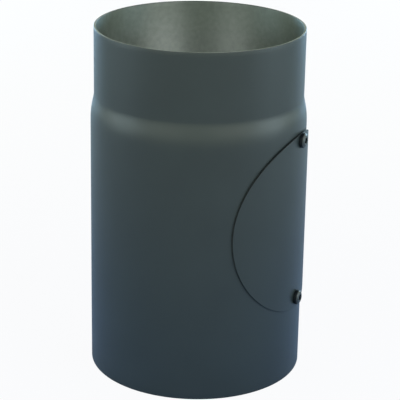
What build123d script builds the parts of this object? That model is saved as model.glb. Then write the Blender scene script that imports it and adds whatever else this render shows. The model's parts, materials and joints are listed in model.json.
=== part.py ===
from build123d import *
from math import cos, pi, sin, tan
import os

# Stove pipe with a bolted cleanout cover, standing on its socket end.
# +Z runs up the pipe axis, the origin is the centre of the lower rim, the cover faces -Y.

# Pipe: rolled sheet, with a straight socket below and a swaged spigot on top
bore_diameter = 150.0
wall_thickness = 1.5
pipe_length = 250.0
socket_length = 50.0
spigot_length = 47.5
spigot_play = 1.2
body_draw_in = 0.2
shoulder_length = 24.0
rim_chamfer = 0.25

# Cleanout: round hole, round cover rolled to the pipe, fibre gasket on the cover's back
cover_diameter = 130.0
cover_thickness = 1.0
cover_height = 117.6
cover_overlap = 15.0
gasket_thickness = 0.25
gasket_edge_inset = 0.5
gasket_hole_margin = 2.0
gasket_bond = 0.05
seat_clearance = 0.2

# Pan head screws and the weld nuts that hold them
screw_edge_margin = 6.2
screw_rise = 1.3
screw_diameter = 6.0
screw_length = 10.0
screw_tip_chamfer = 0.7
head_diameter = 10.5
head_height = 3.3
head_rim_height = 2.0
head_flat_diameter = 7.0
head_clearance = 0.1
hex_key_size = 4.0
hex_key_depth = 2.0
screw_hole_play = 0.3
thread_clearance = 0.05
nut_across_flats = 11.0
nut_height = 5.0
nut_corner_chamfer = 0.6
nut_collar_wall = 0.95
nut_collar_play = 0.2
nut_seat_clearance = 0.05

# Derived sizes
body_radius = bore_diameter / 2 + wall_thickness
spigot_radius = bore_diameter / 2 - spigot_play
crease_height = pipe_length - spigot_length
taper_top = crease_height - shoulder_length
screw_radius = screw_diameter / 2
nut_collar_radius = screw_radius + thread_clearance + nut_collar_wall
hole_diameter = cover_diameter - 2 * cover_overlap
cover_offset = seat_clearance + gasket_thickness + gasket_bond
screw_reach = cover_diameter / 2 - screw_edge_margin
lower_height = cover_height + screw_rise - screw_reach
upper_height = cover_height + screw_rise + screw_reach
screw_heights = [lower_height, upper_height]
outline_points = 32


def taper_radius(z):
    # Outer radius of the slightly drawn-in body, as one straight cone line
    return body_radius - body_draw_in * (z - socket_length) / (taper_top - socket_length)


def shoulder_radius(z):
    # The swaged shoulder steps smoothly from the spigot to the cone line, steepest near the spigot
    share = min(1.0, (crease_height - z) / shoulder_length)
    step = 1 - (1 - share) ** 4 * (1 + 4 * share)
    return spigot_radius + (taper_radius(z) - spigot_radius) * step


def shoulder_curve(inset):
    heights = [taper_top + shoulder_length * i / 8 for i in range(9)]
    taper_slope = -body_draw_in / (taper_top - socket_length)
    points = [(shoulder_radius(z) - inset, z) for z in heights]
    return Spline(points, tangents=[(taper_slope, 1), (0, 1)])


def pipe_wall(inset):
    # One side of the wall, from the lower rim to the upper rim
    socket_end = (body_radius - inset, socket_length)
    curve = shoulder_curve(inset)
    socket = Line((body_radius - inset, 0), socket_end)
    taper = Line(socket_end, curve @ 0)
    spigot = Line(curve @ 1, (spigot_radius - inset, pipe_length))
    return [socket, taper, curve, spigot]


def rolled_disc(diameter, base_offset, thickness, inner_diameter=0.0):
    # A flat disc rolled onto the taper: its edge stays square to the sheet all round
    low = cover_height - diameter
    high = cover_height + diameter
    base = Solid.make_cone(
        taper_radius(low) + base_offset, taper_radius(high) + base_offset, high - low, Plane((0, 0, low))
    )
    middle_offset = base_offset + thickness / 2
    trim = rolled_prism(diameter / 2, base_offset, middle_offset)
    if inner_diameter:
        trim -= rolled_prism(inner_diameter / 2, base_offset, middle_offset)
    side = base.faces().filter_by(GeomType.CONE)[0]
    return Solid.thicken((side & trim).face(), thickness)


def rolled_prism(disc_radius, base_offset, middle_offset):
    # The rolled circle's outline as seen from the front, carried through the front half of the pipe.
    # Rolling keeps the lengths in the middle of the sheet, so that radius turns them into angles.
    bend_radius = taper_radius(cover_height) + middle_offset
    points = []
    for i in range(outline_points):
        turn = 2 * pi * i / outline_points
        z = cover_height + disc_radius * cos(turn)
        around = disc_radius * sin(turn) / bend_radius
        points.append(((taper_radius(z) + base_offset) * sin(around), z))
    outline = make_face(Plane.XZ * Spline(points, periodic=True))
    return extrude(outline, 2 * body_radius, dir=(0, -1, 0))


def radial_seat(radius, z):
    # Local +Z points straight out of the pipe at the cover's centre line
    return Plane((0, -radius, z), x_dir=(1, 0, 0), z_dir=(0, -1, 0))


def radial_hole(radius, z):
    return radial_seat(0, z) * Cylinder(radius, 2 * body_radius, align=(Align.CENTER, Align.CENTER, Align.MIN))


def make_pipe():
    outer = pipe_wall(0)
    inner = pipe_wall(wall_thickness)
    rims = [Line(outer[0] @ 0, inner[0] @ 0), Line(outer[-1] @ 1, inner[-1] @ 1)]
    section = make_face(outer + inner + rims)
    corners = section.vertices().group_by(Axis.Y)
    section = chamfer(corners[0] + corners[-1], rim_chamfer)
    pipe = revolve(Plane.XZ * section, Axis.Z)
    pipe -= rolled_disc(hole_diameter, -2 * wall_thickness, 3 * wall_thickness)
    for z in screw_heights:
        pipe -= radial_hole(nut_collar_radius + nut_collar_play, z)
    return pipe


def make_cover():
    cover = rolled_disc(cover_diameter, cover_offset, cover_thickness)
    for z in screw_heights:
        cover -= radial_hole(screw_radius + screw_hole_play, z)
    return cover


def make_gasket():
    outer_diameter = cover_diameter - 2 * gasket_edge_inset
    inner_diameter = hole_diameter + 2 * gasket_hole_margin
    gasket = rolled_disc(outer_diameter, seat_clearance, gasket_thickness, inner_diameter)
    for z in screw_heights:
        gasket -= radial_hole(screw_radius + screw_hole_play, z)
    return gasket


def make_screw(z):
    # Pan head: a cylinder under a sphere that passes through its rim and its flat top
    head_radius = head_diameter / 2
    flat_radius = head_flat_diameter / 2
    dome_centre = (flat_radius**2 + head_height**2 - head_radius**2 - head_rim_height**2) / (
        2 * (head_height - head_rim_height)
    )
    dome_radius = (flat_radius**2 + (head_height - dome_centre) ** 2) ** 0.5
    upward = (Align.CENTER, Align.CENTER, Align.MIN)
    downward = (Align.CENTER, Align.CENTER, Align.MAX)
    head = Cylinder(head_radius, head_height, align=upward) & Pos(0, 0, dome_centre) * Sphere(dome_radius)
    shank = Cylinder(screw_radius, screw_length, align=downward)
    shank = chamfer(shank.edges().sort_by(Axis.Z)[0], screw_tip_chamfer)
    key = RegularPolygon(hex_key_size / 2, 6, major_radius=False)
    screw = head + shank - Pos(0, 0, head_height) * extrude(key, -hex_key_depth)
    seat_radius = taper_radius(z) + cover_offset + cover_thickness + head_clearance
    return radial_seat(seat_radius, z) * screw


def make_nut(z):
    # The flat nut touches the curved wall at its sides, its collar centres it in the wall's hole
    half_width = nut_across_flats / 2
    wall_radius = shoulder_radius(z + half_width * tan(pi / 6)) - wall_thickness
    face_radius = (wall_radius**2 - half_width**2) ** 0.5 - nut_seat_clearance
    hexagon = Rot(0, 0, 30) * RegularPolygon(half_width, 6, major_radius=False)
    body = extrude(hexagon, -nut_height)
    body = chamfer(body.edges().group_by(Axis.Z)[0], nut_corner_chamfer)
    collar_height = wall_radius + wall_thickness / 2 - face_radius
    collar = Cylinder(nut_collar_radius, collar_height, align=(Align.CENTER, Align.CENTER, Align.MIN))
    nut = body + collar - Cylinder(screw_radius + thread_clearance, 4 * nut_height)
    return radial_seat(face_radius, z) * nut


parts = {
    "pipe_body": make_pipe(),
    "cleanout_cover": make_cover(),
    "cover_gasket": make_gasket(),
    "upper_screw": make_screw(upper_height),
    "lower_screw": make_screw(lower_height),
    "upper_weld_nut": make_nut(upper_height),
    "lower_weld_nut": make_nut(lower_height),
}

os.makedirs("parts", exist_ok=True)
for name, part in parts.items():
    export_step(part, f"parts/{name}.step")
    box = part.bounding_box()
    print(name, f"{part.volume:.1f}", box.min, box.max)
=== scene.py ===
import json
import math

import bmesh
import bpy
import numpy as np
from mathutils import Matrix, Vector


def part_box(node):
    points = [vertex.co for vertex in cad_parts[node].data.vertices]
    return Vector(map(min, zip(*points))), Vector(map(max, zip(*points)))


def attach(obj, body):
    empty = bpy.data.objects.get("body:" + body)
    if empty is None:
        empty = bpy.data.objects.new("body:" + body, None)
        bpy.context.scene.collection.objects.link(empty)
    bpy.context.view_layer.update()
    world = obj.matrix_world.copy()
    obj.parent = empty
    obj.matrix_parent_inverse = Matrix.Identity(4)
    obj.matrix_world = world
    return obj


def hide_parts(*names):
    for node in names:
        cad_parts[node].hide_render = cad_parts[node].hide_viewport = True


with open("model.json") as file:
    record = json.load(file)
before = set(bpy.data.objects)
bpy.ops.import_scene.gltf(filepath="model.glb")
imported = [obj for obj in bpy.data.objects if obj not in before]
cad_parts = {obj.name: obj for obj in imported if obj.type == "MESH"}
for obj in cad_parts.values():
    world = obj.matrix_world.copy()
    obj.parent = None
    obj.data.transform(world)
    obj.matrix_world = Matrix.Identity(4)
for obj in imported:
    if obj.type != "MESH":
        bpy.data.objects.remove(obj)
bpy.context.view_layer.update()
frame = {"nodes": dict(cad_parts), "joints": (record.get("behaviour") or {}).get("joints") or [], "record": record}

scene = bpy.context.scene
mounts = {mount["name"]: mount["dims"] for mount in frame["record"]["mounts"]}
joints = {joint["name"]: joint for joint in frame["joints"]}
mergeDistance = 2e-6
nudge = 1e-6
print("frame loaded with", len(frame["nodes"]), "CAD nodes")


def gridCells(index):
    # The four corner numbers of every cell of a grid of point numbers
    return np.stack([index[:-1, :-1], index[:-1, 1:], index[1:, 1:], index[1:, :-1]], axis=-1).reshape(-1, 4)


def buildPiece(name, patches, materials, sharpAngle):
    # Joins grids of points into one closed mesh. A patch is (points, closed, material number): a closed
    # grid joins its last column to its first, and points that grids share are merged into one.
    points, cells, numbers = [], [], []
    total = 0
    for grid, closed, number in patches:
        rows, columns = grid.shape[:2]
        index = total + np.arange(rows * columns).reshape(rows, columns)
        if closed:
            index = np.concatenate([index, index[:, :1]], axis=1)
        corners = gridCells(index)
        points.append(grid.reshape(-1, 3))
        cells.append(corners)
        numbers.append(np.full(len(corners), number))
        total += rows * columns
    points, cells, numbers = np.concatenate(points), np.concatenate(cells), np.concatenate(numbers)
    mesh = bpy.data.meshes.new(name)
    mesh.vertices.add(len(points))
    mesh.vertices.foreach_set("co", points.ravel())
    mesh.loops.add(cells.size)
    mesh.loops.foreach_set("vertex_index", cells.ravel())
    mesh.polygons.add(len(cells))
    mesh.polygons.foreach_set("loop_start", np.arange(0, cells.size, 4))
    mesh.polygons.foreach_set("material_index", numbers)
    mesh.update(calc_edges=True)
    work = bmesh.new()
    work.from_mesh(mesh)
    bmesh.ops.remove_doubles(work, verts=work.verts, dist=mergeDistance)
    bmesh.ops.recalc_face_normals(work, faces=work.faces)
    loose = sum(not edge.is_manifold for edge in work.edges)
    work.to_mesh(mesh)
    work.free()
    mesh.polygons.foreach_set("use_smooth", np.ones(len(mesh.polygons), bool))
    mesh.set_sharp_from_angle(angle=math.radians(sharpAngle))
    for material in materials:
        mesh.materials.append(material)
    piece = bpy.data.objects.new(name, mesh)
    scene.collection.objects.link(piece)
    print(name, "has", len(mesh.polygons), "faces and", loose, "open edges")
    return piece


def runs(*stretches):
    # One rising list of places from stretches of (start, end, steps) that follow each other
    parts = [np.linspace(start, end, steps + 1)[:-1] for start, end, steps in stretches]
    return np.concatenate(parts + [[stretches[-1][1]]])


def flatGrid(across, up):
    # Every pair of a place across the flat sheet and a place up it
    return np.stack(np.meshgrid(across, up), axis=-1)


def roundHole(block, centre, radius, steps):
    # Rays from the edge of a round hole to the outline of the block of sheet around it
    outline = np.concatenate([block[0, :-1], block[:-1, -1], block[-1, :0:-1], block[:0:-1, 0]])
    away = outline - centre
    edge = centre + radius * away / np.linalg.norm(away, axis=-1, keepdims=True)
    share = np.linspace(0, 1, steps + 1)[:, None, None]
    return edge * (1 - share) + outline * share


# Materials

pipeLow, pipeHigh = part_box("pipe_body")


def addNode(tree, kind, **settings):
    node = tree.nodes.new(kind)
    for key, value in settings.items():
        setattr(node, key, value)
    return node


def newMaterial(name):
    material = bpy.data.materials.new(name)
    material.use_nodes = True
    tree = material.node_tree
    return material, tree, tree.nodes["Principled BSDF"]


def grainGroup():
    # Noise in two sizes on object coordinates, the fine one drawn out along chosen axes:
    # Tone runs from 0 to 1 over the soft clouds, Grain over the fine grain
    group = bpy.data.node_groups.new("surfaceGrain", "ShaderNodeTree")
    face = group.interface
    stretch = face.new_socket("Stretch", in_out="INPUT", socket_type="NodeSocketVector")
    stretch.default_value = (1.0, 1.0, 1.0)
    for label, value in (("Cloud Scale", 20.0), ("Grain Scale", 800.0)):
        face.new_socket(label, in_out="INPUT", socket_type="NodeSocketFloat").default_value = value
    for label in ("Tone", "Grain"):
        face.new_socket(label, in_out="OUTPUT", socket_type="NodeSocketFloat")
    entry = addNode(group, "NodeGroupInput")
    leave = addNode(group, "NodeGroupOutput")
    place = addNode(group, "ShaderNodeTexCoord")
    drawn = addNode(group, "ShaderNodeVectorMath", operation="MULTIPLY")
    cloud = addNode(group, "ShaderNodeTexNoise")
    grain = addNode(group, "ShaderNodeTexNoise")
    cloud.inputs["Detail"].default_value = 3.0
    grain.inputs["Detail"].default_value = 4.0
    link = group.links.new
    link(place.outputs["Object"], drawn.inputs[0])
    link(entry.outputs["Stretch"], drawn.inputs[1])
    link(place.outputs["Object"], cloud.inputs["Vector"])
    link(drawn.outputs[0], grain.inputs["Vector"])
    link(entry.outputs["Cloud Scale"], cloud.inputs["Scale"])
    link(entry.outputs["Grain Scale"], grain.inputs["Scale"])
    for noise, label in ((cloud, "Tone"), (grain, "Grain")):
        spread = addNode(group, "ShaderNodeMapRange")
        spread.inputs["From Min"].default_value = 0.3
        spread.inputs["From Max"].default_value = 0.7
        link(noise.outputs["Fac"], spread.inputs["Value"])
        link(spread.outputs["Result"], leave.inputs[label])
    return group


surfaceGrain = grainGroup()


def placeGrain(tree, settings):
    node = addNode(tree, "ShaderNodeGroup", node_tree=surfaceGrain)
    node.inputs["Stretch"].default_value = settings.get("stretch", (1.0, 1.0, 1.0))
    node.inputs["Cloud Scale"].default_value = settings["cloudScale"]
    node.inputs["Grain Scale"].default_value = settings["grainScale"]
    return node


def blendColours(tree, mask, dark, light):
    # Dark where the mask is 0, light where it is 1
    mix = addNode(tree, "ShaderNodeMix", data_type="RGBA")
    mix.inputs["A"].default_value = (*dark, 1.0)
    mix.inputs["B"].default_value = (*light, 1.0)
    tree.links.new(mask, mix.inputs["Factor"])
    return mix.outputs["Result"]


def spreadValue(tree, mask, low, high):
    # Low where the mask is 0, high where it is 1
    ramp = addNode(tree, "ShaderNodeMapRange")
    ramp.inputs["To Min"].default_value = low
    ramp.inputs["To Max"].default_value = high
    tree.links.new(mask, ramp.inputs["Value"])
    return ramp.outputs["Result"]


def addBump(tree, height, distance, shader):
    bump = addNode(tree, "ShaderNodeBump")
    bump.inputs["Strength"].default_value = 1.0
    bump.inputs["Distance"].default_value = distance
    tree.links.new(height, bump.inputs["Height"])
    tree.links.new(bump.outputs["Normal"], shader.inputs["Normal"])


def makeFinish(name, settings):
    # A painted, blackened or fibrous surface: its colour follows one of the two noises, its roughness another
    material, tree, shader = newMaterial(name)
    grain = placeGrain(tree, settings)
    link = tree.links.new
    shade, gloss = (grain.outputs[label] for label in settings["follows"])
    link(blendColours(tree, shade, settings["dark"], settings["light"]), shader.inputs["Base Color"])
    link(spreadValue(tree, gloss, *settings["roughness"]), shader.inputs["Roughness"])
    if settings["bump"]:
        addBump(tree, grain.outputs["Grain"], settings["bump"], shader)
    shader.inputs["Specular IOR Level"].default_value = settings["specular"]
    return material


# Matte heat resistant paint: soft clouds of tone, a fine sprayed grain
paint = {
    "follows": ("Tone", "Grain"),
    "dark": (0.0125, 0.0186, 0.0207),
    "light": (0.0152, 0.0221, 0.0243),
    "roughness": (0.34, 0.40),
    "specular": 0.5,
    "cloudScale": 26.0,
    "grainScale": 2600.0,
    "bump": 0.00003,
}


bareSheet = {
    "dark": (0.280, 0.318, 0.292),
    "light": (0.340, 0.380, 0.350),
    "roughness": (0.44, 0.50),
    "anisotropy": 0.8,
    "metallic": 0.75,
    # reach and depth of the darkening near both rims: paint mist at the edge, painted shade further in
    "mistReach": 0.036,
    "mistShade": 0.46,
    "edge": (0.4, 0.42, 0.4),
    "stretch": (0.02, 0.02, 1.0),
    "cloudScale": 300.0,
    "grainScale": 2400.0,
    "bump": 0.000004,
}
nutFinish = dict(bareSheet, anisotropy=0.0, metallic=1.0, mistReach=0.0, stretch=(1.0, 1.0, 1.0))


def makeBareSteel(name, settings):
    # Steel left bare. On the rolled sheet fine lines run round the pipe, so its gloss is drawn out upwards,
    # and its colour is darker towards both rims: paint mist at the edge, and painted shade further in
    material, tree, shader = newMaterial(name)
    grain = placeGrain(tree, settings)
    link = tree.links.new
    colour = blendColours(tree, grain.outputs["Tone"], settings["dark"], settings["light"])
    if settings["mistReach"]:
        place = addNode(tree, "ShaderNodeTexCoord")
        split = addNode(tree, "ShaderNodeSeparateXYZ")
        down = addNode(tree, "ShaderNodeMath", operation="SUBTRACT")
        down.inputs[0].default_value = pipeHigh.z
        nearest = addNode(tree, "ShaderNodeMath", operation="MINIMUM")
        mistAndShade = addNode(tree, "ShaderNodeMapRange")    # 1 beyond the reach of the mist and the painted shade
        mistAndShade.inputs["From Max"].default_value = settings["mistReach"]
        mistAndShade.inputs["To Min"].default_value = settings["mistShade"]
        tint = addNode(tree, "ShaderNodeVectorMath", operation="SCALE")
        link(place.outputs["Object"], split.inputs[0])
        link(split.outputs["Z"], down.inputs[1])
        link(split.outputs["Z"], nearest.inputs[0])
        link(down.outputs[0], nearest.inputs[1])
        link(nearest.outputs[0], mistAndShade.inputs["Value"])
        link(colour, tint.inputs[0])
        link(mistAndShade.outputs["Result"], tint.inputs["Scale"])
        colour = tint.outputs[0]
    link(colour, shader.inputs["Base Color"])
    link(spreadValue(tree, grain.outputs["Grain"], *settings["roughness"]), shader.inputs["Roughness"])
    addBump(tree, grain.outputs["Grain"], settings["bump"], shader)
    shader.inputs["Metallic"].default_value = settings["metallic"]
    shader.inputs["Specular Tint"].default_value = (*settings["edge"], 1.0)
    if settings["anisotropy"]:
        upright = addNode(tree, "ShaderNodeCombineXYZ")
        upright.inputs["Z"].default_value = 1.0
        link(upright.outputs[0], shader.inputs["Tangent"])
        shader.inputs["Anisotropic"].default_value = settings["anisotropy"]
    return material


# Blackened steel, dull and painted nearly black as painted shade on the head's side, under it and in the socket,
# glossier and painted lighter as a painted highlight over the dome
shadedBlackScrew = {
    "follows": ("Tone", "Grain"),
    "dark": (0.003, 0.005, 0.007),
    "light": (0.007, 0.010, 0.013),
    "roughness": (0.45, 0.60),
    "specular": 0.15,
    "cloudScale": 300.0,
    "grainScale": 3000.0,
    "bump": 0.00001,
}
# The dome's finish: its lighter colour is a painted highlight
highlightScrew = dict(shadedBlackScrew, dark=(0.014, 0.018, 0.020), light=(0.034, 0.041, 0.044), roughness=(0.38, 0.46),
                 specular=0.4)


# Graphited fibre paper: black, flecked and quite matte
fibre = {
    "follows": ("Grain", "Tone"),
    "specular": 0.5,
    "dark": (0.014, 0.014, 0.014),
    "light": (0.036, 0.036, 0.035),
    "roughness": (0.85, 0.95),
    "cloudScale": 120.0,
    "grainScale": 2500.0,
    "bump": 0.00008,
}


# The cover's cut edge, painted nearly black as painted shade of the gap beneath it
cutEdge = {
    "follows": ("Tone", "Grain"),
    "specular": 0.2,
    "bump": 0.0,
    "dark": (0.009, 0.012, 0.013),
    "light": (0.016, 0.020, 0.022),
    "roughness": (0.6, 0.8),
    "cloudScale": 400.0,
    "grainScale": 4000.0,
}


mattePaint = makeFinish("mattePaint", paint)
bareSteel = makeBareSteel("bareSheet", bareSheet)
nutSteel = makeBareSteel("nutSteel", nutFinish)
screwBlack = makeFinish("screwBlack", shadedBlackScrew)
screwWorn = makeFinish("screwWorn", highlightScrew)
fibrePaper = makeFinish("fibrePaper", fibre)
shadedEdgeMaterial = makeFinish("cutEdge", cutEdge)
print("materials made")


# Pipe

coverLow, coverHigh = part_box("cleanout_cover")
screwHeights = [joints["lower_screw_turn"]["pos_m"][2], joints["upper_screw_turn"]["pos_m"][2]]

pipe = {
    "radius": pipeHigh.x,
    "length": pipeHigh.z,
    "wall": pipeHigh.x - mounts["lower_socket"]["r_mm"] / 1000,
    "spigotRadius": mounts["upper_spigot"]["r_mm"] / 1000,
    "socketLength": 0.050,
    "spigotLength": 0.0475,
    "shoulderLength": 0.024,
    "drawIn": 0.0002,
    "holeRadius": 0.050,
    "holeHeight": (coverLow.z + coverHigh.z) / 2,
    "nutHoleRadius": 0.0042,
    "rimRound": 0.0003,
    "seamWidth": 0.0014,
    "seamInside": 0.00025,
    "seamOutside": 0.00006,
    "seamBand": 0.006,
    "doorMargin": 0.006,
    "nutBlock": 0.0065,
    "sharpAngle": 28,
}
crease = pipe["length"] - pipe["spigotLength"]
taperTop = crease - pipe["shoulderLength"]
bendRadius = pipe["radius"] - pipe["wall"] / 2


def taperRadius(z):
    # Straight socket, then one cone line that draws in slightly on the way up
    rise = np.maximum(0, (z - pipe["socketLength"]) / (taperTop - pipe["socketLength"]))
    return pipe["radius"] - pipe["drawIn"] * rise


def wallRadius(z):
    # The straight spigot, then a smooth step out to the cone line, steepest a quarter of the way down it
    share = np.clip((crease - z) / pipe["shoulderLength"], 0, 1)
    step = 1 - (1 - share) ** 4 * (1 + 4 * share)
    return pipe["spigotRadius"] + (taperRadius(z) - pipe["spigotRadius"]) * step


def rollWall(flat, inset):
    # Bends flat sheet round the axis: the way across becomes an angle from the front, with a weld bead
    # shaped as a bell curve where the two edges of the sheet meet at the back
    angle, z = flat[..., 0] / bendRadius, flat[..., 1]
    fromSeam = (math.pi - np.abs(angle)) * bendRadius
    inward = inset / pipe["wall"]
    bead = pipe["seamOutside"] * (1 - inward) - pipe["seamInside"] * inward
    radius = wallRadius(z) - inset + bead * np.exp(-(fromSeam / pipe["seamWidth"]) ** 2)
    return np.stack([radius * np.sin(angle), -radius * np.cos(angle), z], axis=-1)


def rimProfile(edge, inward):
    # Half of a rounded rectangle round the sheet's cut edge, as (inset, height) from outside to inside
    turn = np.linspace(0, math.pi / 2, 5)
    corner = pipe["rimRound"]
    insets = np.concatenate([corner * (1 - np.cos(turn)), pipe["wall"] - corner * (1 - np.sin(turn))])
    heights = edge - inward * corner * np.concatenate([1 - np.sin(turn), 1 - np.cos(turn)])
    return insets, heights


def makePipe():
    # The flat sheet in bands, pierced for the cleanout and the nuts, rolled once for the outside and once
    # a wall thickness further in, and closed by the cut edges of the holes and by both rims
    halfRound = math.pi * bendRadius
    doorHalf = pipe["holeRadius"] + pipe["doorMargin"]
    nutHalf = pipe["nutBlock"]
    nearSeam = pipe["seamBand"]
    across = runs((-halfRound, -halfRound + nearSeam, 10), (-halfRound + nearSeam, -doorHalf, 70),
                  (-doorHalf, -nutHalf, 24), (-nutHalf, nutHalf, 10), (nutHalf, doorHalf, 24),
                  (doorHalf, halfRound - nearSeam, 70), (halfRound - nearSeam, halfRound, 10))
    doorStart, doorEnd = np.searchsorted(across, (-doorHalf - nudge, doorHalf - nudge))
    nutStart, nutEnd = np.searchsorted(across, (-nutHalf - nudge, nutHalf - nudge))
    lowCut, highCut = screwHeights[0] + nutHalf, screwHeights[1] - nutHalf
    corner = pipe["rimRound"]
    bands = {
        "socket": runs((corner, screwHeights[0] - nutHalf, 12)),
        "lowNut": runs((screwHeights[0] - nutHalf, lowCut, 10)),
        "door": runs((lowCut, highCut, 44)),
        "highNut": runs((highCut, screwHeights[1] + nutHalf, 16)),
        "shoulder": runs((screwHeights[1] + nutHalf, crease, 32), (crease, pipe["length"] - corner, 14)),
    }
    holes = {
        "lowNut": (screwHeights[0], pipe["nutHoleRadius"], nutStart, nutEnd, 4),
        "door": (pipe["holeHeight"], pipe["holeRadius"], doorStart, doorEnd, 6),
        "highNut": (screwHeights[1], pipe["nutHoleRadius"], nutStart, nutEnd, 4),
    }
    patches = []
    for band, up in bands.items():
        flats = [(flatGrid(across, up), False)]
        if band in holes:
            height, radius, start, end, steps = holes[band]
            pierced = roundHole(flatGrid(across[start:end + 1], up), np.array([0.0, height]), radius, steps)
            sides = [flatGrid(across[:start + 1], up), flatGrid(across[end:], up)]
            flats = [(sides[0], False), (sides[1], False), (pierced, True)]
            cut = np.stack([rollWall(pierced[0], inset) for inset in np.linspace(0, pipe["wall"], 4)])
            patches.append((cut, True, 0))
        for flat, closed in flats:
            patches.append((rollWall(flat, 0.0), closed, 0))
            patches.append((rollWall(flat, pipe["wall"]), closed, 1))
    for edge, inward in ((0.0, -1), (pipe["length"], 1)):
        insets, heights = rimProfile(edge, inward)
        flat = np.stack(np.broadcast_arrays(across[None, :], heights[:, None]), axis=-1)
        patches.append((rollWall(flat, insets[:, None]), False, 0))
    piece = buildPiece("pipeWall", patches, [mattePaint, bareSteel], pipe["sharpAngle"])
    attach(piece, "pipe")
    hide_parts("pipe_body")


makePipe()


# Cleanout cover

cover = {
    "radius": (coverHigh.z - coverLow.z) / 2,
    "height": (coverLow.z + coverHigh.z) / 2,
    "offset": 0.0005,
    "thickness": 0.001,
    "screwHoleRadius": 0.0033,
    "edgeRound": 0.00025,
    "holeInside": 0.0012,
    "holeOutside": 0.0006,
    "blockHalf": 0.0056,
    "blockSpokes": 10,
    "arcSpokes": 64,
    "sharpAngle": 40,
}
coverBend = float(taperRadius(cover["height"])) + cover["offset"] + cover["thickness"] / 2


def rollCover(flat, depth):
    # Bends the flat disc onto the pipe: depth runs inwards from the outer face of the sheet
    angle, z = flat[..., 0] / coverBend, flat[..., 1]
    radius = taperRadius(z) + cover["offset"] + cover["thickness"] - depth
    return np.stack([radius * np.sin(angle), -radius * np.cos(angle), z], axis=-1)


def discGrid(spokes, rings):
    # Points of a flat disc on spokes, counted as angles from the top, and rings
    turn, reach = np.meshgrid(spokes, rings)
    return np.stack([reach * np.sin(turn), cover["height"] + reach * np.cos(turn)], axis=-1)


def makeCover():
    # A flat disc of spokes and rings, pierced for the screws, rolled for its outer and inner face and
    # closed by a rounded edge: two quarter circles, one for each face
    reaches = [abs(height - cover["height"]) for height in screwHeights]
    blockStart = min(reaches) - cover["screwHoleRadius"] - cover["holeInside"]
    blockEnd = max(reaches) + cover["screwHoleRadius"] + cover["holeOutside"]
    blockTurn = cover["blockHalf"] / max(reaches)
    few, many = cover["blockSpokes"], cover["arcSpokes"]
    opposite = few + many
    rounding = cover["edgeRound"]
    spokes = runs((-blockTurn, blockTurn, few), (blockTurn, math.pi - blockTurn, many),
                  (math.pi - blockTurn, math.pi + blockTurn, few),
                  (math.pi + blockTurn, 2 * math.pi - blockTurn, many))
    innerRings = runs((0.0, blockStart, 26))
    blockRings = runs((blockStart, blockEnd, 10))
    outerRings = runs((blockEnd, cover["radius"] - rounding, 2))
    patches = []
    for depth in (0.0, cover["thickness"]):
        for rings in (innerRings, outerRings):
            patches.append((rollCover(discGrid(spokes, rings), depth), False, 0))
        for first, last in ((few, opposite), (opposite + few, 2 * opposite)):
            patches.append((rollCover(discGrid(spokes[first:last + 1], blockRings), depth), False, 0))
    for first, height in ((0, screwHeights[1]), (opposite, screwHeights[0])):
        block = discGrid(spokes[first:first + few + 1], blockRings)
        pierced = roundHole(block, np.array([0.0, height]), cover["screwHoleRadius"], 4)
        for depth in (0.0, cover["thickness"]):
            patches.append((rollCover(pierced, depth), True, 0))
        cut = np.stack([rollCover(pierced[0], depth) for depth in np.linspace(0, cover["thickness"], 3)])
        patches.append((cut, True, 0))
    turn = np.linspace(0, math.pi / 2, 5)
    reach = cover["radius"] - rounding * np.concatenate([1 - np.sin(turn), 1 - np.cos(turn)])
    depths = np.concatenate([rounding * (1 - np.cos(turn)),
                             cover["thickness"] - rounding * (1 - np.sin(turn))])
    # The rounded edge takes the second material, painted nearly black as painted shade
    patches.append((rollCover(discGrid(spokes, reach), depths[:, None]), False, 1))
    piece = buildPiece("cleanoutCover", patches, [mattePaint, shadedEdgeMaterial], cover["sharpAngle"])
    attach(piece, "cover")
    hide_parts("cleanout_cover")


makeCover()


# Screws

screw = {
    "headHeight": 0.0033,
    "headRim": 0.0020,
    "flatRadius": 0.0035,
    "keySize": 0.004,
    "keyDepth": 0.002,
    "keyCone": 1.1,
    "keyChamfer": 0.00018,
    "keyMouth": 0.605,
    "shankRadius": 0.003,
    "pitch": 0.001,
    "threadDepth": 0.00045,
    "plainLength": 0.0014,
    "tipChamfer": 0.0007,
    "tipSlope": 0.7,
    "edgeBreak": 0.00012,
    "neckRound": 0.0002,
    "domeRows": 12,
    "domeSpacing": 1.6,
    "rowsPerTurn": 10,
    "steps": 48,
    "sharpAngle": 40,
    # rows of the head that take the painted highlight
    "wornRows": (2, 13),
}


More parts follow.
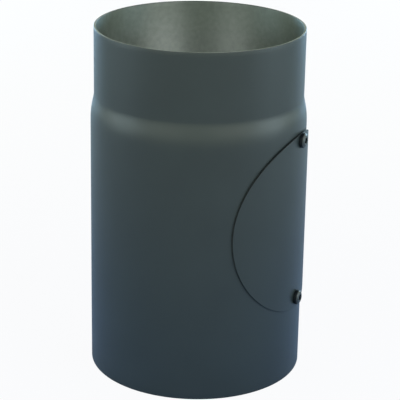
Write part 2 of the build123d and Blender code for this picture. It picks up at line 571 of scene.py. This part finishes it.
def screwSurface(headRadius, shankLength):
    # One turned surface from the middle of the key socket, over the head and down the thread to the tip:
    # every row is a height and a radius, six-sided in the socket and a spiral wave on the thread
    turn = np.linspace(0, 2 * math.pi, screw["steps"], endpoint=False)
    high, rim, flat = screw["headHeight"], screw["headRim"], screw["flatRadius"]
    hexagon = screw["keySize"] / 2 / np.cos(np.mod(turn, math.pi / 3) - math.pi / 6)
    socket = [(0 * turn, high - screw["keyDepth"] * screw["keyCone"]), (hexagon, high - screw["keyDepth"]),
              (hexagon, high - screw["keyChamfer"]), (0 * turn + screw["keySize"] * screw["keyMouth"], high)]
    domeCentre = (flat**2 + high**2 - headRadius**2 - rim**2) / (2 * (high - rim))
    domeHeights = high - (high - rim) * np.linspace(0, 1, screw["domeRows"]) ** screw["domeSpacing"]
    domeRadius = math.hypot(flat, high - domeCentre)
    head = [(0 * turn + math.sqrt(domeRadius**2 - (h - domeCentre) ** 2), h) for h in domeHeights]
    under = [(0 * turn + headRadius, screw["edgeBreak"]), (0 * turn + headRadius - screw["edgeBreak"], 0.0),
             (0 * turn + screw["shankRadius"] + screw["neckRound"], 0.0)]
    rowCount = int(shankLength / screw["pitch"] * screw["rowsPerTurn"])
    down = np.linspace(screw["neckRound"], shankLength - screw["tipChamfer"], rowCount)
    deep = np.clip((down - screw["plainLength"]) / screw["pitch"], 0, 1)
    wave = 0.5 - 0.5 * np.cos(2 * math.pi * (down[:, None] / screw["pitch"] + turn / (2 * math.pi)))
    thread = screw["shankRadius"] - screw["threadDepth"] * deep[:, None] * wave
    shank = [(row, -height) for row, height in zip(thread, down)]
    end = thread[-1] - screw["tipChamfer"] * screw["tipSlope"]
    tip = [(end, -shankLength), (0 * turn, -shankLength)]
    rows = socket + head + under + shank + tip
    radius = np.stack([row[0] for row in rows])
    height = np.broadcast_to(np.array([row[1] for row in rows])[:, None], radius.shape)
    return np.stack([radius * np.cos(turn), radius * np.sin(turn), height], axis=-1)


def makeScrew(node, height):
    # The turned surface laid along -Y at its height, with the rows of the dome and key mouth in a lighter,
    # glossier finish as a painted highlight
    low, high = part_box(node)
    seat = -low.y - screw["headHeight"]
    local = screwSurface((high.x - low.x) / 2, seat + high.y)
    placed = np.stack([local[..., 0], -seat - local[..., 2], height + local[..., 1]], axis=-1)
    start, end = screw["wornRows"]
    patches = [(placed[:start + 1], True, 0), (placed[start:end + 1], True, 1), (placed[end:], True, 0)]
    piece = buildPiece(node + "Threaded", patches, [screwBlack, screwWorn], screw["sharpAngle"])
    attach(piece, node)
    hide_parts(node)


makeScrew("lower_screw", screwHeights[0])
makeScrew("upper_screw", screwHeights[1])


# Gasket and weld nuts keep their CAD shapes

keptNodes = {"cover_gasket": fibrePaper, "upper_weld_nut": nutSteel, "lower_weld_nut": nutSteel}
for node, material in keptNodes.items():
    mesh = frame["nodes"][node].data
    mesh.materials.clear()
    mesh.materials.append(material)


# Camera

camera = {
    "azimuth": -66.35,
    "distance": 1.0810,
    "height": 0.5206,
    "pan": 0.103,
    "tilt": 20.288,
    "roll": 1.003,
    "lens": 144.0,
    "sensor": 36.0,
    "clip": (0.01, 50.0),
}


def placeCamera():
    # Stands at an azimuth round the pipe, pans off the axis, tilts down and rolls about its own line of sight
    azimuth, pan, tilt, roll = (math.radians(camera[key]) for key in ("azimuth", "pan", "tilt", "roll"))
    spot = Vector((math.sin(azimuth), -math.cos(azimuth), 0)) * camera["distance"]
    spot.z = camera["height"]
    heading = azimuth - pan
    ahead = Vector((-math.sin(heading) * math.cos(tilt), math.cos(heading) * math.cos(tilt), -math.sin(tilt)))
    level = Vector((math.cos(heading), math.sin(heading), 0))
    upright = level.cross(ahead)
    right = level * math.cos(roll) + upright * math.sin(roll)
    up = upright * math.cos(roll) - level * math.sin(roll)
    data = bpy.data.cameras.new("photoCamera")
    data.lens = camera["lens"]
    data.sensor_width = camera["sensor"]
    data.clip_start, data.clip_end = camera["clip"]
    viewer = bpy.data.objects.new("photoCamera", data)
    viewer.matrix_world = Matrix((
        (right.x, up.x, -ahead.x, spot.x),
        (right.y, up.y, -ahead.y, spot.y),
        (right.z, up.z, -ahead.z, spot.z),
        (0, 0, 0, 1),
    ))
    scene.collection.objects.link(viewer)
    scene.camera = viewer


placeCamera()


# Floor and light

floor = {
    "size": 12.0,
    # the colour round the pipe is painted shade, darker and bluer than the far floor
    "near": (0.19, 0.35, 0.66),
    "far": (0.51, 0.57, 0.58),
    "reach": 0.7,
    "seen": 0.95,
    "mirrored": 0.12,
    "glow": 1.0,
    "roughness": 0.9,
}


def makeFloor():
    # A pale floor, painted darker and bluer round the pipe as painted shade: white where the camera looks at it,
    # partly so in reflections, with the shadow left in it
    half = floor["size"] / 2
    mesh = bpy.data.meshes.new("studioFloor")
    corners = [(-half, -half, 0), (half, -half, 0), (half, half, 0), (-half, half, 0)]
    mesh.from_pydata(corners, [], [(0, 1, 2, 3)])
    material, tree, shader = newMaterial("paleFloor")
    shader.inputs["Roughness"].default_value = floor["roughness"]
    shader.inputs["Specular IOR Level"].default_value = 0.0
    place = addNode(tree, "ShaderNodeTexCoord")
    away = addNode(tree, "ShaderNodeVectorMath", operation="LENGTH")
    spread = addNode(tree, "ShaderNodeMapRange", interpolation_type="SMOOTHSTEP")
    spread.inputs["From Max"].default_value = floor["reach"]
    glow = addNode(tree, "ShaderNodeEmission")
    glow.inputs["Strength"].default_value = floor["glow"]
    path = addNode(tree, "ShaderNodeLightPath")
    bounced = addNode(tree, "ShaderNodeMath", operation="MAXIMUM")
    weaker = addNode(tree, "ShaderNodeMath", operation="MULTIPLY")
    weaker.inputs[1].default_value = floor["mirrored"]
    direct = addNode(tree, "ShaderNodeMath", operation="MULTIPLY")
    direct.inputs[1].default_value = floor["seen"]
    share = addNode(tree, "ShaderNodeMath", operation="MAXIMUM")
    mix = addNode(tree, "ShaderNodeMixShader")
    link = tree.links.new
    link(place.outputs["Object"], away.inputs[0])
    link(away.outputs["Value"], spread.inputs["Value"])
    colour = blendColours(tree, spread.outputs["Result"], floor["near"], floor["far"])
    link(colour, shader.inputs["Base Color"])
    link(path.outputs["Is Glossy Ray"], bounced.inputs[0])
    link(path.outputs["Is Transmission Ray"], bounced.inputs[1])
    link(bounced.outputs[0], weaker.inputs[0])
    link(path.outputs["Is Camera Ray"], direct.inputs[0])
    link(direct.outputs[0], share.inputs[0])
    link(weaker.outputs[0], share.inputs[1])
    link(share.outputs[0], mix.inputs["Fac"])
    link(shader.outputs[0], mix.inputs[1])
    link(glow.outputs[0], mix.inputs[2])
    link(mix.outputs[0], tree.nodes["Material Output"].inputs["Surface"])
    mesh.materials.append(material)
    piece = bpy.data.objects.new("studioFloor", mesh)
    scene.collection.objects.link(piece)


# turn is counted from the camera's own azimuth, elevation from the floor
softBoxes = {
    "leftKey": {"turn": -42, "elevation": 36, "distance": 1.4, "size": (0.75, 0.5), "power": 5.7,
                "colour": (1.0, 0.98, 1.0)},
    "rightKey": {"turn": 46, "elevation": 36, "distance": 1.4, "size": (0.95, 0.5), "power": 10.4,
                 "colour": (1.0, 0.98, 1.0)},
    "leftWing": {"turn": -85, "elevation": 9, "distance": 1.4, "size": (0.9, 0.5), "power": 4.3,
                 "colour": (0.66, 0.85, 1.0)},
    "rightWing": {"turn": 82, "elevation": 9, "distance": 1.4, "size": (0.9, 0.5), "power": 5.0,
                  "colour": (0.66, 0.85, 1.0)},
    "leftBack": {"turn": -150, "elevation": 8, "distance": 1.4, "size": (0.7, 0.45), "power": 11.5,
                 "colour": (0.42, 0.70, 1.0)},
    "rightBack": {"turn": 150, "elevation": 8, "distance": 1.4, "size": (0.7, 0.45), "power": 11.0,
                  "colour": (0.42, 0.70, 1.0)},
}
skyLight = {"colour": (0.86, 1.0, 0.80), "strength": 2.7, "zenith": 0.0, "fade": 0.6}


def makeLights():
    # Soft rectangles of light that look at the middle of the pipe, and a sky that is brightest low down
    target = Vector((0, 0, pipe["length"] / 2))
    for name, box in softBoxes.items():
        around = math.radians(camera["azimuth"] + box["turn"])
        rise = math.radians(box["elevation"])
        away = Vector((math.sin(around) * math.cos(rise), -math.cos(around) * math.cos(rise), math.sin(rise)))
        data = bpy.data.lights.new(name, "AREA")
        data.shape = "RECTANGLE"
        data.size, data.size_y = box["size"]
        data.energy = box["power"]
        data.color = box["colour"]
        lamp = bpy.data.objects.new(name, data)
        lamp.visible_camera = False
        lamp.location = target + away * box["distance"]
        lamp.rotation_mode = "QUATERNION"
        lamp.rotation_quaternion = (-away).to_track_quat("-Z", "Y")
        scene.collection.objects.link(lamp)
    world = bpy.data.worlds.new("studioSky")
    world.use_nodes = True
    tree = world.node_tree
    sky = tree.nodes["Background"]
    sky.inputs["Color"].default_value = (*skyLight["colour"], 1.0)
    place = addNode(tree, "ShaderNodeTexCoord")
    split = addNode(tree, "ShaderNodeSeparateXYZ")
    fade = addNode(tree, "ShaderNodeMapRange", interpolation_type="SMOOTHSTEP")
    fade.inputs["From Max"].default_value = skyLight["fade"]
    fade.inputs["To Min"].default_value = skyLight["strength"]
    fade.inputs["To Max"].default_value = skyLight["zenith"]
    tree.links.new(place.outputs["Generated"], split.inputs[0])
    tree.links.new(split.outputs["Z"], fade.inputs["Value"])
    tree.links.new(fade.outputs["Result"], sky.inputs["Strength"])
    scene.world = world


makeFloor()
makeLights()
scene.view_settings.view_transform = "Standard"
print("camera, floor and lights placed")
